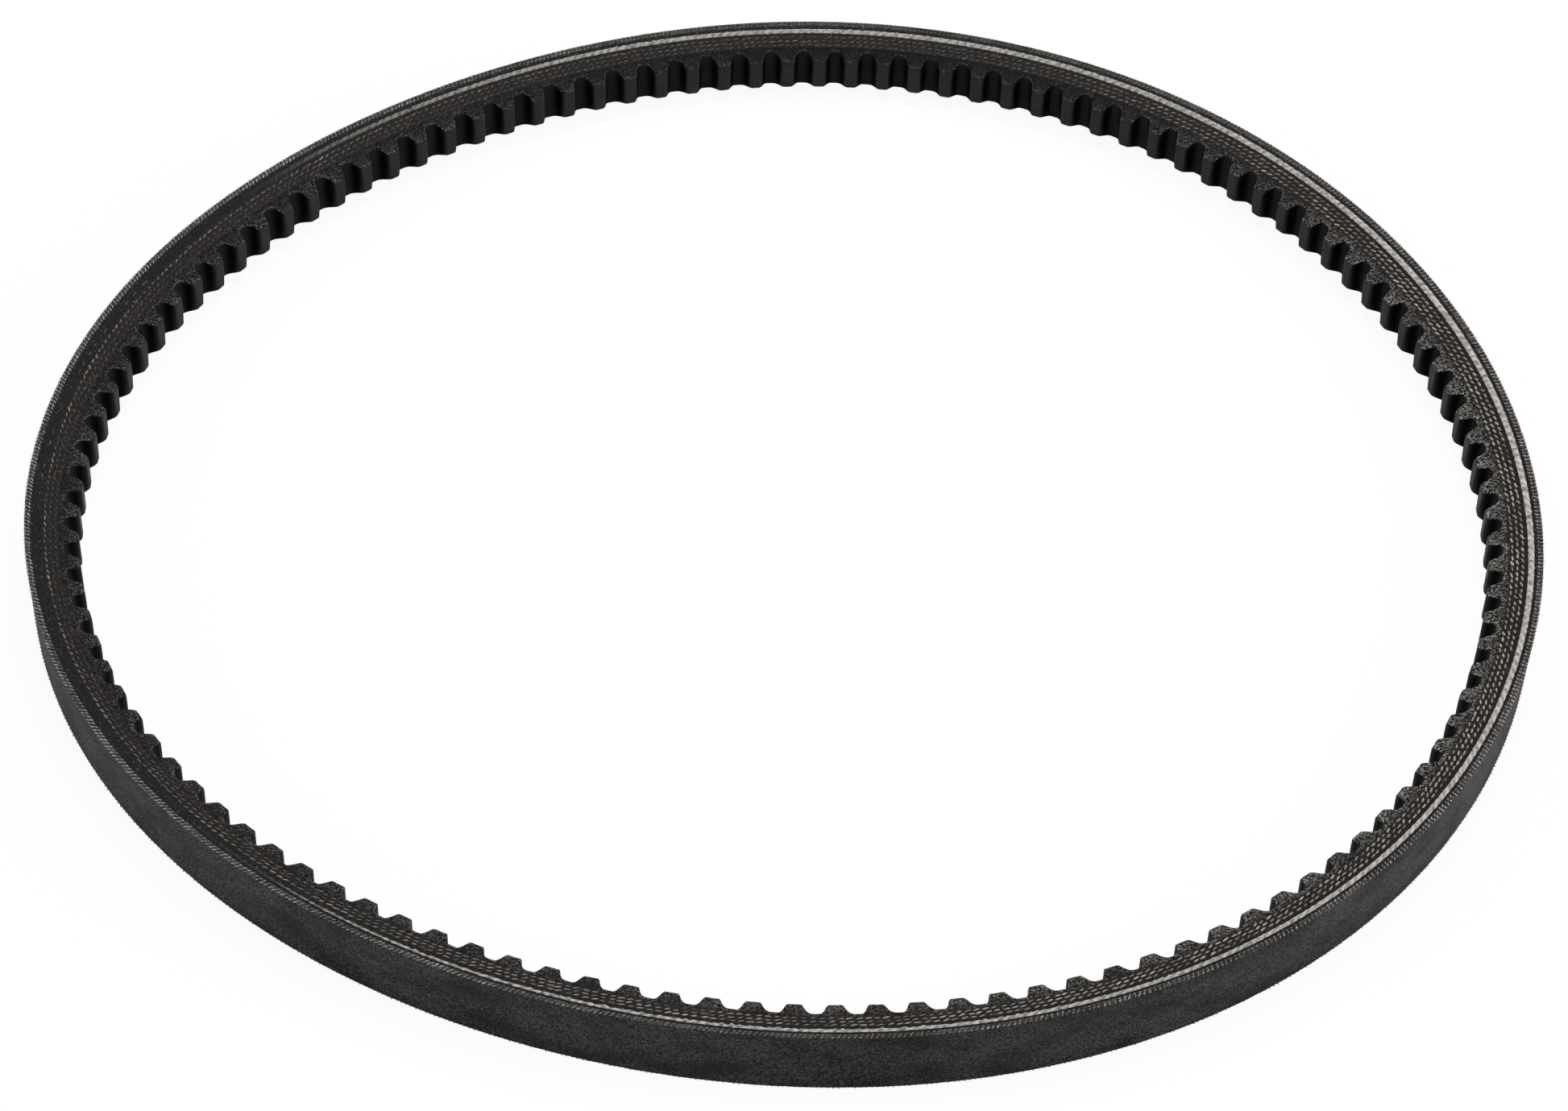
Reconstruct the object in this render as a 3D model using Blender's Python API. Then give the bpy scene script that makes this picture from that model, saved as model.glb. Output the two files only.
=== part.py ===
"""Raw-edge cogged V belt, lying on its side, modelled layer by layer.

The belt is an endless strip. Its section is a trapezoid, wide at the back (the outside of the loop)
and narrow at the cog tips (the inside). Each layer of the strip is one closed ring, apart from the
tensile cord, which is one long helix. Depth is measured from the back towards the inside.
The loop's axis is +Z, and the lower edge of the back lies on z = 0.
"""

import math

import bmesh
import bpy
import numpy as np

# Loop, in metres: the length around the back, and how the relaxed loop departs from a circle
OUTSIDE_LENGTH = 0.800
OVAL_ALONG_X = 0.0036
OVAL_DIAGONAL = 0.0009
THREE_LOBE_COSINE = -0.0015
THREE_LOBE_SINE = -0.0011
FOUR_LOBE_COSINE = 0.0003
FACETS = 50

# Section, in metres and degrees
BACK_WIDTH = 0.0127
FLANK_ANGLE = 20.0
BACK_PLY_THICKNESS = 0.00046
UPPER_CUSHION_THICKNESS = 0.00053
CORD_DIAMETER = 0.00105
LOWER_CUSHION_THICKNESS = 0.00040
REINFORCING_PLY_THICKNESS = 0.00086
BASE_WEB_THICKNESS = 0.00097
COG_HEIGHT = 0.00255

# The film of gum where one layer is bonded to the next, left open between the solids
BOND_GAP = 0.00002

# Tensile cord: the gum between neighbouring turns, the least thickness that the flank's cut leaves
# at either end, and the direction, in degrees from +X, at which the upper end starts
CORD_SPACING = 0.00020
CORD_CUT_THICKNESS = 0.00010
CORD_END_DIRECTION = 223.0

# Cogs: their number, and the lengths along the back that the tip, its rounded corners, the groove
# floor and its rounded corners take up before the strip is bent into a loop
COG_COUNT = 119
COG_TIP_LENGTH = 0.00260
COG_CORNER_LENGTH = 0.00025
COG_CORNER_HEIGHT = 0.00030
GROOVE_FLOOR_LENGTH = 0.00160
GROOVE_CORNER_LENGTH = 0.00045
GROOVE_CORNER_HEIGHT = 0.00045

CURVE_SAMPLES = 7200
SHARP_ANGLE = math.radians(30.0)


def loop_corners():
    """The corners of the back's outline, one per facet, evenly spaced along the curve."""
    turn = np.linspace(0.0, 2.0 * math.pi, CURVE_SAMPLES + 1)
    radius = OUTSIDE_LENGTH / (2.0 * math.pi)
    radius = radius + OVAL_ALONG_X * np.cos(2.0 * turn) + OVAL_DIAGONAL * np.sin(2.0 * turn)
    radius = radius + THREE_LOBE_COSINE * np.cos(3.0 * turn) + THREE_LOBE_SINE * np.sin(3.0 * turn)
    radius = radius + FOUR_LOBE_COSINE * np.cos(4.0 * turn)
    curve = np.stack([radius * np.cos(turn), radius * np.sin(turn)], axis=1)
    along = np.concatenate([[0.0], np.cumsum(np.linalg.norm(np.diff(curve, axis=0), axis=1))])
    half_facet = 0.5 * along[-1] / FACETS
    wanted = half_facet + along[-1] * np.arange(FACETS) / FACETS
    corners = np.stack([np.interp(wanted, along, curve[:, axis]) for axis in range(2)], axis=1)
    sides = np.linalg.norm(np.roll(corners, -1, axis=0) - corners, axis=1)
    corners = corners * OUTSIDE_LENGTH / sides.sum()
    middle = 0.5 * (corners.min(axis=0) + corners.max(axis=0))
    return corners - middle


def inward_mitres(corners):
    """For each corner, the step that moves both of its facets inwards by one unit of depth."""
    ahead = np.roll(corners, -1, axis=0) - corners
    ahead = ahead / np.linalg.norm(ahead, axis=1, keepdims=True)
    normal_after = np.stack([-ahead[:, 1], ahead[:, 0]], axis=1)
    normal_before = np.roll(normal_after, 1, axis=0)
    shared = 1.0 + np.sum(normal_before * normal_after, axis=1, keepdims=True)
    return (normal_before + normal_after) / shared


CORNERS = loop_corners()
MITRES = inward_mitres(CORNERS)
FLANK_SLOPE = math.tan(math.radians(FLANK_ANGLE))


def half_width(depth):
    """Half the belt's width at a depth: the flanks close in from the back."""
    return 0.5 * BACK_WIDTH - depth * FLANK_SLOPE


def plan_point(corner, depth):
    """The place, in the loop's plane, of a corner moved inwards to a depth."""
    index = corner % FACETS
    return CORNERS[index] + depth * MITRES[index]


def solid_point(plan, height):
    """A point from its place in the plane and its height above the belt's middle."""
    return (plan[0], plan[1], 0.5 * BACK_WIDTH + height)


def new_object(name, points, faces, material, parent):
    """A named object from points and faces, with its faces turned outwards."""
    mesh = bpy.data.meshes.new(name)
    shape = bmesh.new()
    corners = [shape.verts.new(point) for point in points]
    for face in faces:
        shape.faces.new([corners[index] for index in face])
    bmesh.ops.recalc_face_normals(shape, faces=shape.faces)
    shape.to_mesh(mesh)
    shape.free()
    mesh.shade_smooth()
    mesh.set_sharp_from_angle(angle=SHARP_ANGLE)
    mesh.materials.append(material)
    made = bpy.data.objects.new(name, mesh)
    bpy.context.scene.collection.objects.link(made)
    made.parent = parent
    return made


def new_material(name, colour, roughness):
    """A plain non-metal finish."""
    material = bpy.data.materials.new(name)
    material.use_nodes = True
    shader = material.node_tree.nodes["Principled BSDF"]
    shader.inputs["Base Color"].default_value = (*colour, 1.0)
    shader.inputs["Roughness"].default_value = roughness
    shader.inputs["Metallic"].default_value = 0.0
    return material


def side_walls(stations, sides, closed):
    """Four-sided faces between each section and the next, around a sweep."""
    last = stations if closed else stations - 1
    faces = []
    for station in range(last):
        here = station * sides
        there = (station + 1) % stations * sides
        for side in range(sides):
            beside = (side + 1) % sides
            faces.append((here + side, here + beside, there + beside, there + side))
    return faces


def layer_ring(name, outer_depth, thickness, material, parent):
    """A closed ring of one layer, from its outer depth inwards, with both flanks cut to the V."""
    inner_depth = outer_depth + thickness - BOND_GAP
    section = [
        (outer_depth, half_width(outer_depth)),
        (outer_depth, -half_width(outer_depth)),
        (inner_depth, -half_width(inner_depth)),
        (inner_depth, half_width(inner_depth)),
    ]
    points = []
    for corner in range(FACETS):
        for depth, height in section:
            points.append(solid_point(plan_point(corner, depth), height))
    return new_object(name, points, side_walls(FACETS, len(section), True), material, parent)


def cord_section(middle_depth, centre_height):
    """Six-sided section of the cord at one station, cut back to the flanks where it runs out."""
    radius = 0.5 * (CORD_DIAMETER - BOND_GAP)
    outline = [
        (-radius, 0.0),
        (-0.5 * radius, radius),
        (0.5 * radius, radius),
        (radius, 0.0),
        (0.5 * radius, -radius),
        (-0.5 * radius, -radius),
    ]
    section = []
    for depth_step, height_step in outline:
        limit = half_width(middle_depth + depth_step)
        level = min(max(centre_height + height_step, -limit), limit)
        room = radius - 0.5 * abs(level - centre_height)
        depth = middle_depth + min(max(depth_step, -room), room)
        limit = half_width(depth)
        section.append((depth, min(max(centre_height + height_step, -limit), limit)))
    return section


def tensile_cord(name, outer_depth, material, parent):
    """One cord wound as a helix that falls counter-clockwise, sliced off by the upper and lower flank."""
    middle_depth = outer_depth + 0.5 * (CORD_DIAMETER - BOND_GAP)
    turn_rise = CORD_DIAMETER + CORD_SPACING
    reach = half_width(middle_depth) + 0.5 * CORD_DIAMETER - CORD_CUT_THICKNESS
    reach = reach - 0.5 * CORD_DIAMETER * FLANK_SLOPE
    stations = int(2.0 * reach / turn_rise * FACETS) + 1
    first_corner = round(CORD_END_DIRECTION / 360.0 * FACETS - 0.5)
    points = []
    for station in range(stations):
        height = reach - station * turn_rise / FACETS
        for depth, level in cord_section(middle_depth, height):
            points.append(solid_point(plan_point(first_corner + station, depth), level))
    sides = len(points) // stations
    faces = side_walls(stations, sides, False)
    start_inner, end_inner = 4, 1
    for first, inner in ((0, start_inner), (len(points) - sides, end_inner)):
        for step in range(1, sides - 1):
            fan = (inner, (inner + step) % sides, (inner + step + 1) % sides)
            faces.append(tuple(first + index for index in fan))
    return new_object(name, points, faces, material, parent)


def cog_outline(floor_depth, tip_depth):
    """Places along the loop, counted in facets, and depths of the cogs' profile, in order."""
    pitch = OUTSIDE_LENGTH / COG_COUNT
    facet = OUTSIDE_LENGTH / FACETS
    half_floor = 0.5 * GROOVE_FLOOR_LENGTH
    half_tip = 0.5 * COG_TIP_LENGTH
    profile = [
        (half_floor, floor_depth),
        (half_floor + GROOVE_CORNER_LENGTH, floor_depth + GROOVE_CORNER_HEIGHT),
        (0.5 * pitch - half_tip - COG_CORNER_LENGTH, tip_depth - COG_CORNER_HEIGHT),
        (0.5 * pitch - half_tip, tip_depth),
        (0.5 * pitch + half_tip, tip_depth),
        (0.5 * pitch + half_tip + COG_CORNER_LENGTH, tip_depth - COG_CORNER_HEIGHT),
        (pitch - half_floor - GROOVE_CORNER_LENGTH, floor_depth + GROOVE_CORNER_HEIGHT),
        (pitch - half_floor, floor_depth),
    ]
    places = []
    depths = []
    for cog in range(COG_COUNT):
        for step, depth in profile:
            places.append((cog * pitch + step) / facet)
            depths.append(depth)
    corners = np.setdiff1d(np.arange(FACETS + 0.0), np.round(places, 9))
    corner_depths = np.interp(corners, places, depths, period=FACETS)
    places = np.concatenate([places, corners])
    depths = np.concatenate([depths, corner_depths])
    order = np.argsort(places)
    return places[order], depths[order]


def cogged_base(name, outer_depth, material, parent):
    """The compression rubber and its cogs: a ring whose inside follows the cogs' profile."""
    floor_depth = outer_depth + BASE_WEB_THICKNESS
    places, depths = cog_outline(floor_depth, floor_depth + COG_HEIGHT)
    points = []
    for corner in range(FACETS):
        plan = plan_point(corner, outer_depth)
        points.append(solid_point(plan, half_width(outer_depth)))
        points.append(solid_point(plan, -half_width(outer_depth)))
    facet_of = []
    for place, depth in zip(places, depths):
        facet = int(math.floor(place + 1e-9)) % FACETS
        share = place - facet
        plan = (1.0 - share) * plan_point(facet, depth) + share * plan_point(facet + 1, depth)
        points.append(solid_point(plan, half_width(depth)))
        points.append(solid_point(plan, -half_width(depth)))
        facet_of.append(facet)
    inner = 2 * FACETS
    count = len(places)
    faces = []
    for step in range(count):
        here = inner + 2 * step
        there = inner + 2 * ((step + 1) % count)
        faces.append((here, here + 1, there + 1, there))
    for facet in range(FACETS):
        here = 2 * facet
        there = 2 * ((facet + 1) % FACETS)
        faces.append((here, there, there + 1, here + 1))
        own = [step for step in range(count) if facet_of[step] == facet]
        run = own + [(own[-1] + 1) % count]
        for flank in range(2):
            edge = [inner + 2 * step + flank for step in reversed(run)]
            faces.append((here + flank, there + flank, *edge))
    return new_object(name, points, faces, material, parent)


def clear_scene():
    """Remove whatever the scene holds."""
    for thing in list(bpy.data.objects):
        bpy.data.objects.remove(thing, do_unlink=True)


def build_belt():
    """All layers, from the back of the belt to the cog tips."""
    belt = bpy.data.objects.new("v_belt", None)
    bpy.context.scene.collection.objects.link(belt)
    back_cloth = new_material("rubbered back fabric", (0.030, 0.030, 0.031), 0.75)
    gum = new_material("cushion gum", (0.014, 0.014, 0.014), 0.70)
    cord = new_material("polyester cord", (0.440, 0.410, 0.370), 0.80)
    ply_cloth = new_material("rubbered ply fabric", (0.120, 0.105, 0.095), 0.80)
    cog_rubber = new_material("fibre filled rubber", (0.022, 0.022, 0.023), 0.65)
    depth = 0.0
    for name in ("back_fabric_outer_ply", "back_fabric_inner_ply"):
        layer_ring(name, depth, BACK_PLY_THICKNESS, back_cloth, belt)
        depth += BACK_PLY_THICKNESS
    layer_ring("upper_cushion_rubber", depth, UPPER_CUSHION_THICKNESS, gum, belt)
    depth += UPPER_CUSHION_THICKNESS
    tensile_cord("tensile_cord", depth, cord, belt)
    depth += CORD_DIAMETER
    layer_ring("lower_cushion_rubber", depth, LOWER_CUSHION_THICKNESS, gum, belt)
    depth += LOWER_CUSHION_THICKNESS
    for name in ("reinforcing_ply_1", "reinforcing_ply_2", "reinforcing_ply_3"):
        layer_ring(name, depth, REINFORCING_PLY_THICKNESS, ply_cloth, belt)
        depth += REINFORCING_PLY_THICKNESS
    cogged_base("cogged_compression_rubber", depth, cog_rubber, belt)


def main():
    clear_scene()
    build_belt()


main()
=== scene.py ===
"""Raw-edge cogged V belt: its surfaces, finishes and studio, laid out as an add-on and run as a script.

Every surface follows the smooth loop through the corners of the belt's back. A point of the belt is
given by its share of the way round the loop, its depth from the back and its height above the middle.
"""

import math

import bpy
import numpy as np
from mathutils import Matrix, Vector


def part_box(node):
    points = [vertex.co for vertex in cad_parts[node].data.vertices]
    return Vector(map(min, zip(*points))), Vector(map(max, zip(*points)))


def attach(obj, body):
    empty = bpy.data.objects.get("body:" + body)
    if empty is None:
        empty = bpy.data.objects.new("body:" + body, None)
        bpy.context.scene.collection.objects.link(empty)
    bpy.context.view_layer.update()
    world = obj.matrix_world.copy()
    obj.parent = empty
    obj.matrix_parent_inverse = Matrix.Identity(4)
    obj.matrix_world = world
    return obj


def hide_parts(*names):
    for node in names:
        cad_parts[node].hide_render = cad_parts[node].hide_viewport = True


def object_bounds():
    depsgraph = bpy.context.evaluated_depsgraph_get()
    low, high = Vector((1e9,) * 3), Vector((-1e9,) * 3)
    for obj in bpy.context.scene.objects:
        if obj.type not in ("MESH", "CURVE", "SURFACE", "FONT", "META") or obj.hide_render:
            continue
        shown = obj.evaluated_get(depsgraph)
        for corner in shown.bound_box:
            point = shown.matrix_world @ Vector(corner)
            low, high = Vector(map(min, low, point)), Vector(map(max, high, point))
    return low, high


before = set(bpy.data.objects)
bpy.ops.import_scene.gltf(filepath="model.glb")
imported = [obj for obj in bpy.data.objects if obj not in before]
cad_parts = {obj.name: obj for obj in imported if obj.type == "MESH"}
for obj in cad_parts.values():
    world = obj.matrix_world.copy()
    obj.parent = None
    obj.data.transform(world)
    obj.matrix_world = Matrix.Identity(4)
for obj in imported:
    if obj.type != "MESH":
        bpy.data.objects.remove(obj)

bl_info = {
    "name": "Cogged V belt",
    "version": (1, 0, 0),
    "blender": (4, 5, 0),
    "location": "View3D > Sidebar > V belt",
    "description": "Builds the layers, finishes and studio of a raw-edge cogged V belt",
    "category": "Object",
}

CAD_BOX = [list(corner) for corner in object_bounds()]
MM = 0.001
# A wave texture of this scale repeats once a metre
WAVE_TURN = math.pi / 10.0

BACK = "back_fabric_outer_ply"
BASE = "cogged_compression_rubber"
PLIES = ("reinforcing_ply_1", "reinforcing_ply_2", "reinforcing_ply_3")

# The photograph's frame and where the loop's middle falls in it, in pixels
PHOTO_WIDTH = 1946.0
PHOTO_HEIGHT = 1379.0
LOOP_MIDDLE_PIXEL = (986.2, 610.4)
FOCAL_PIXELS = 4675.7


def layer_depth(node):
    """Depth of a layer's outer face under the back: how much further in its box ends."""
    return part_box(BACK)[1].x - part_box(node)[1].x


def belt_corners():
    """Corners of the back's upper edge, in order round the loop, as complex numbers x + iy."""
    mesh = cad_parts[BACK].data
    places = np.empty(3 * len(mesh.vertices))
    mesh.vertices.foreach_get("co", places)
    places = places.reshape(-1, 3)
    top = places[places[:, 2] > places[:, 2].max() - 0.01 * MM]
    plan = np.unique(np.round(top[:, 0] + 1j * top[:, 1], 8))
    return plan[np.argsort(np.angle(plan) % (2.0 * math.pi))]


HALF_BACK = 0.5 * (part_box(BACK)[1].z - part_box(BACK)[0].z)
MIDDLE_Z = 0.5 * (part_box(BACK)[1].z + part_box(BACK)[0].z)
FLANK_SLOPE = (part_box(BACK)[1].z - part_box(BASE)[1].z) / layer_depth(BASE)
CORNERS = belt_corners()
HARMONICS = np.fft.fftfreq(len(CORNERS), 1.0 / len(CORNERS))
AMPLITUDES = np.fft.fft(CORNERS) / len(CORNERS)
LOOP_LENGTH = float(np.abs(np.roll(CORNERS, -1) - CORNERS).sum())


def linear(hex_colour):
    """An sRGB hex colour as linear red, green and blue."""
    parts = np.array([int(hex_colour[i : i + 2], 16) / 255.0 for i in (1, 3, 5)])
    return tuple(np.where(parts <= 0.04045, parts / 12.92, ((parts + 0.055) / 1.055) ** 2.4))


def length_property(name, description, default):
    """A length in metres that a user may change."""
    return bpy.props.FloatProperty(
        name=name, description=description, default=default, unit="LENGTH", precision=5
    )


def colour_property(name, description, hex_colour):
    """A colour that a user may change, from its sRGB hex value."""
    return bpy.props.FloatVectorProperty(
        name=name, description=description, default=linear(hex_colour), subtype="COLOR", min=0.0, max=1.0
    )


class VBELT_PG_sizes(bpy.types.PropertyGroup):
    """Sizes of the belt's fine surface."""

    cog_count: bpy.props.IntProperty(name="Cogs", description="Cogs round the loop", default=119)
    web: length_property("Web", "Rubber between the last ply and the groove floor", 0.97 * MM)
    cog_height: length_property("Cog height", "Groove floor to cog tip", 2.40 * MM)
    tip_length: length_property("Cog tip", "Length of a cog tip between its sharp corners", 2.66 * MM)
    tip_round: length_property("Tip rounding", "Height within which a tip's corner is rounded", 1.00 * MM)
    low_round: length_property("Low tip rounding", "The same at the lower rim, which is softer", 2.60 * MM)
    rim_round: length_property("Rim rounding", "Radius between a cog tip and the flank", 0.45 * MM)
    wide_run: length_property("Wide side", "Length of a cog's sweeping side", 2.15 * MM)
    tight_run: length_property("Tight side", "Length of a cog's straighter side", 1.15 * MM)
    cord_spacing: length_property("Cord spacing", "Gum between two turns of the cord", 0.20 * MM)
    cord_crown: length_property("Cord crown", "How far the sliced cord swells out of the flank", 0.38 * MM)
    strand_lay: length_property("Strand lay", "Length in which a strand of the cord turns once", 4.20 * MM)
    ply_yarn: length_property("Ply yarn pitch", "Spacing of the cut yarn ends of a ply", 1.46 * MM)
    back_yarn: length_property("Back yarn pitch", "Spacing of the cut yarn ends of the back", 0.85 * MM)
    weave: length_property("Weave pitch", "Yarn spacing of the back's weave", 0.55 * MM)
    cord_start: bpy.props.FloatProperty(
        name="Cord start",
        description="Direction from +X at which the cord's upper end starts",
        default=math.radians(223.0),
        subtype="ANGLE",
    )


class VBELT_PG_colours(bpy.types.PropertyGroup):
    """Colours of the belt's finishes."""

    back: colour_property("Back", "Rubbered weave of the back", "#2e2d2f")
    back_dark: colour_property("Back, dark", "Worn and blotched places of the back", "#1a1a1b")
    gum: colour_property("Gum", "Cut cushion rubber", "#171717")
    ply: colour_property("Ply", "Rubber between the yarns of a ply", "#1c1a19")
    yarn: colour_property("Yarn", "Cut yarn ends", "#928980")
    yarn_dark: colour_property("Yarn, dark", "Yarn ends smeared with rubber", "#524d48")
    cord: colour_property("Cord", "Cut polyester cord", "#a5a19b")
    cord_dark: colour_property("Cord, dark", "Creases between the cord's strands", "#6f6b66")
    rubber: colour_property("Cog rubber", "Moulded faces of the cogs", "#121213")
    cut: colour_property("Cut rubber", "Sliced flank of the cogs", "#100f0f")
    fibre: colour_property("Fibre", "Short fibres in the cut rubber", "#8b8883")


def path(shares):
    """Places and inward directions on the loop.

    The curve is the sum of the corners' own harmonics, so it passes through every corner, and its
    inward direction is the derivative of that sum turned a quarter turn left.
    """
    waves = np.exp(2j * math.pi * np.multiply.outer(shares, HARMONICS))
    place = waves @ AMPLITUDES
    along = waves @ (2j * math.pi * HARMONICS * AMPLITUDES)
    return place, 1j * along / np.abs(along)


def belt_points(shares, depths, heights):
    """Points from shares of the loop, one for each row, and depths and heights in each row."""
    place, inward = path(shares)
    plan = place[:, None] + depths * inward[:, None]
    return np.stack([plan.real, plan.imag, MIDDLE_Z + heights], axis=-1)


def half_width(depth):
    """Half the belt's width at a depth, where the flanks close in from the back."""
    return HALF_BACK - depth * FLANK_SLOPE


def even_pitch(pitch):
    """The pitch nearest to the wanted one that goes a whole number of times round the loop."""
    return LOOP_LENGTH / round(LOOP_LENGTH / pitch)


def ripple(shares, seed, waves, low, high):
    """A seeded closed ripple round the loop.

    It is a sum of sines whose rates per loop lie between a low and a high one, scaled to unit spread.
    """
    random = np.random.default_rng(seed)
    rates = random.integers(low, high, waves)
    phases = random.uniform(0.0, 2.0 * math.pi, waves)
    angles = 2.0 * math.pi * np.multiply.outer(shares, rates) + phases
    return np.sin(angles).sum(axis=-1) * math.sqrt(2.0 / waves)


def freshness(shares, front, behind, left, seed, fall=2.6):
    """How clean the cut flank is: 1 on the right, falling off to given values in front, behind and left.

    It blends with powers of the cosine of the direction from +X, and falls off by its own power behind.
    A seeded ripple makes it uneven.
    """
    place, _ = path(shares)
    facing, behind_part = np.cos(np.angle(place)), np.sin(np.angle(place))
    middle = 0.5 * (front + behind) - 0.5 * (front - behind) * behind_part
    gentle = 1.2
    right_part = np.clip(facing, 0.0, 1.0) ** np.where(behind_part > 0.0, fall, gentle)
    left_part = np.clip(-facing, 0.0, 1.0) ** gentle
    clean = middle + (1.0 - middle) * right_part + (left - middle) * left_part
    uneven = 0.18 * ripple(shares, seed, waves=10, low=4, high=70)
    return np.clip(clean * (1.0 + uneven), 0.0, 1.0)


def add_mesh(name, points, faces, material, sharp=40.0):
    """An object at the origin from points and lists of corner indices, smooth but for its sharp edges."""
    mesh = bpy.data.meshes.new(name)
    mesh.from_pydata(points.reshape(-1, 3), [], faces)
    mesh.shade_smooth()
    mesh.set_sharp_from_angle(angle=math.radians(sharp))
    mesh.materials.append(material)
    made = bpy.data.objects.new(name, mesh)
    bpy.context.scene.collection.objects.link(made)
    return made


def sweep_faces(points, closed):
    """Quads between the sections of a sweep, and caps where it ends, all facing outward.

    The order of their corners is the one that makes the enclosed volume positive.
    """
    stations, sides = points.shape[:2]
    here = np.arange(stations if closed else stations - 1)[:, None] * sides
    there = (here + sides) % (stations * sides)
    side = np.arange(sides)[None]
    beside = (side + 1) % sides
    quads = np.stack([here + side, there + side, there + beside, here + beside], axis=-1).reshape(-1, 4)
    flat = points.reshape(-1, 3)
    first, second, third, fourth = (flat[quads[:, k]] for k in range(4))
    volume = np.einsum("ij,ij->", first, np.cross(second, third) + np.cross(third, fourth))
    turn = 1 if volume > 0.0 else -1
    if closed:
        return quads[:, ::turn]
    first = np.arange(sides)
    last = stations * sides - 1 - first
    return quads[:, ::turn].tolist() + [first[::turn].tolist(), last[::turn].tolist()]


def add_uv(piece, along, across):
    """A UV map in metres from the place of each vertex, with no step where the loop closes."""
    mesh = piece.data
    index = np.empty(len(mesh.loops), np.int32)
    mesh.loops.foreach_get("vertex_index", index)
    start = np.empty(len(mesh.polygons), np.int32)
    total = np.empty(len(mesh.polygons), np.int32)
    mesh.polygons.foreach_get("loop_start", start)
    mesh.polygons.foreach_get("loop_total", total)
    first = np.repeat(np.ravel(along)[index[start]], total)
    run = np.ravel(along)[index]
    run = run + LOOP_LENGTH * np.round((first - run) / LOOP_LENGTH)
    places = np.stack([run, np.ravel(across)[index]], axis=1).astype(np.float32)
    mesh.uv_layers.new(name="belt").data.foreach_set("uv", places.ravel())


def add_value(piece, name, values, domain):
    """A number on each vertex or face for the finish to read."""
    attribute = piece.data.attributes.new(name, "FLOAT", domain)
    attribute.data.foreach_set("value", np.ascontiguousarray(values, np.float32).ravel())


def settle(piece, slot, *nodes):
    """The piece rides with the belt and stands for its nodes; its slot is not used."""
    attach(piece, "root")
    if nodes:
        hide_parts(*nodes)


def add_ring(name, outer, inner, material, stations=1200, across=3, rough=0.0, recess=0.0, seed=1):
    """A layer's ring: a four-sided section carried round the loop.

    The section runs across the outer face, in along the lower flank, back across the inner face and
    out along the upper flank. A seeded ripple moves the two faces a little way in depth.
    """
    rows = np.linspace(1.0, -1.0, across)
    depth = np.concatenate([np.full(across, outer), np.full(across, inner)])
    height = np.concatenate([rows, -rows]) * (half_width(depth) - recess)
    shares = np.arange(stations) / stations
    depths = depth + rough * ripple(shares, seed, waves=24, low=20, high=260)[:, None]
    heights = np.broadcast_to(height, depths.shape)
    points = belt_points(shares, depths, heights)
    piece = add_mesh(name, points, sweep_faces(points, True), material)
    add_uv(piece, np.broadcast_to(shares[:, None] * LOOP_LENGTH, depths.shape), heights)
    return piece


def bead_shape(rings=4, sides=7):
    """A unit ball: two poles and the rings between them, with its faces, as a template."""
    polar = np.linspace(0.0, math.pi, rings + 1)[1:-1]
    turn = 2.0 * math.pi * np.arange(sides) / sides
    ring = np.stack(
        [
            np.sin(polar)[:, None] * np.cos(turn),
            np.sin(polar)[:, None] * np.sin(turn),
            np.cos(polar)[:, None] * np.ones(sides),
        ],
        axis=-1,
    )
    points = np.concatenate([[[0.0, 0.0, 1.0]], ring.reshape(-1, 3), [[0.0, 0.0, -1.0]]])
    side = np.arange(sides)
    beside = (side + 1) % sides
    last = 1 + (rings - 2) * sides
    caps = np.concatenate(
        [
            np.stack([np.zeros(sides, int), 1 + side, 1 + beside], axis=1),
            np.stack([np.full(sides, last + sides), last + beside, last + side], axis=1),
        ]
    )
    row = 1 + np.arange(rings - 2)[:, None] * sides
    quads = np.stack([row + side, row + sides + side, row + sides + beside, row + beside], axis=-1)
    return points, caps, quads.reshape(-1, 4)


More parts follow.
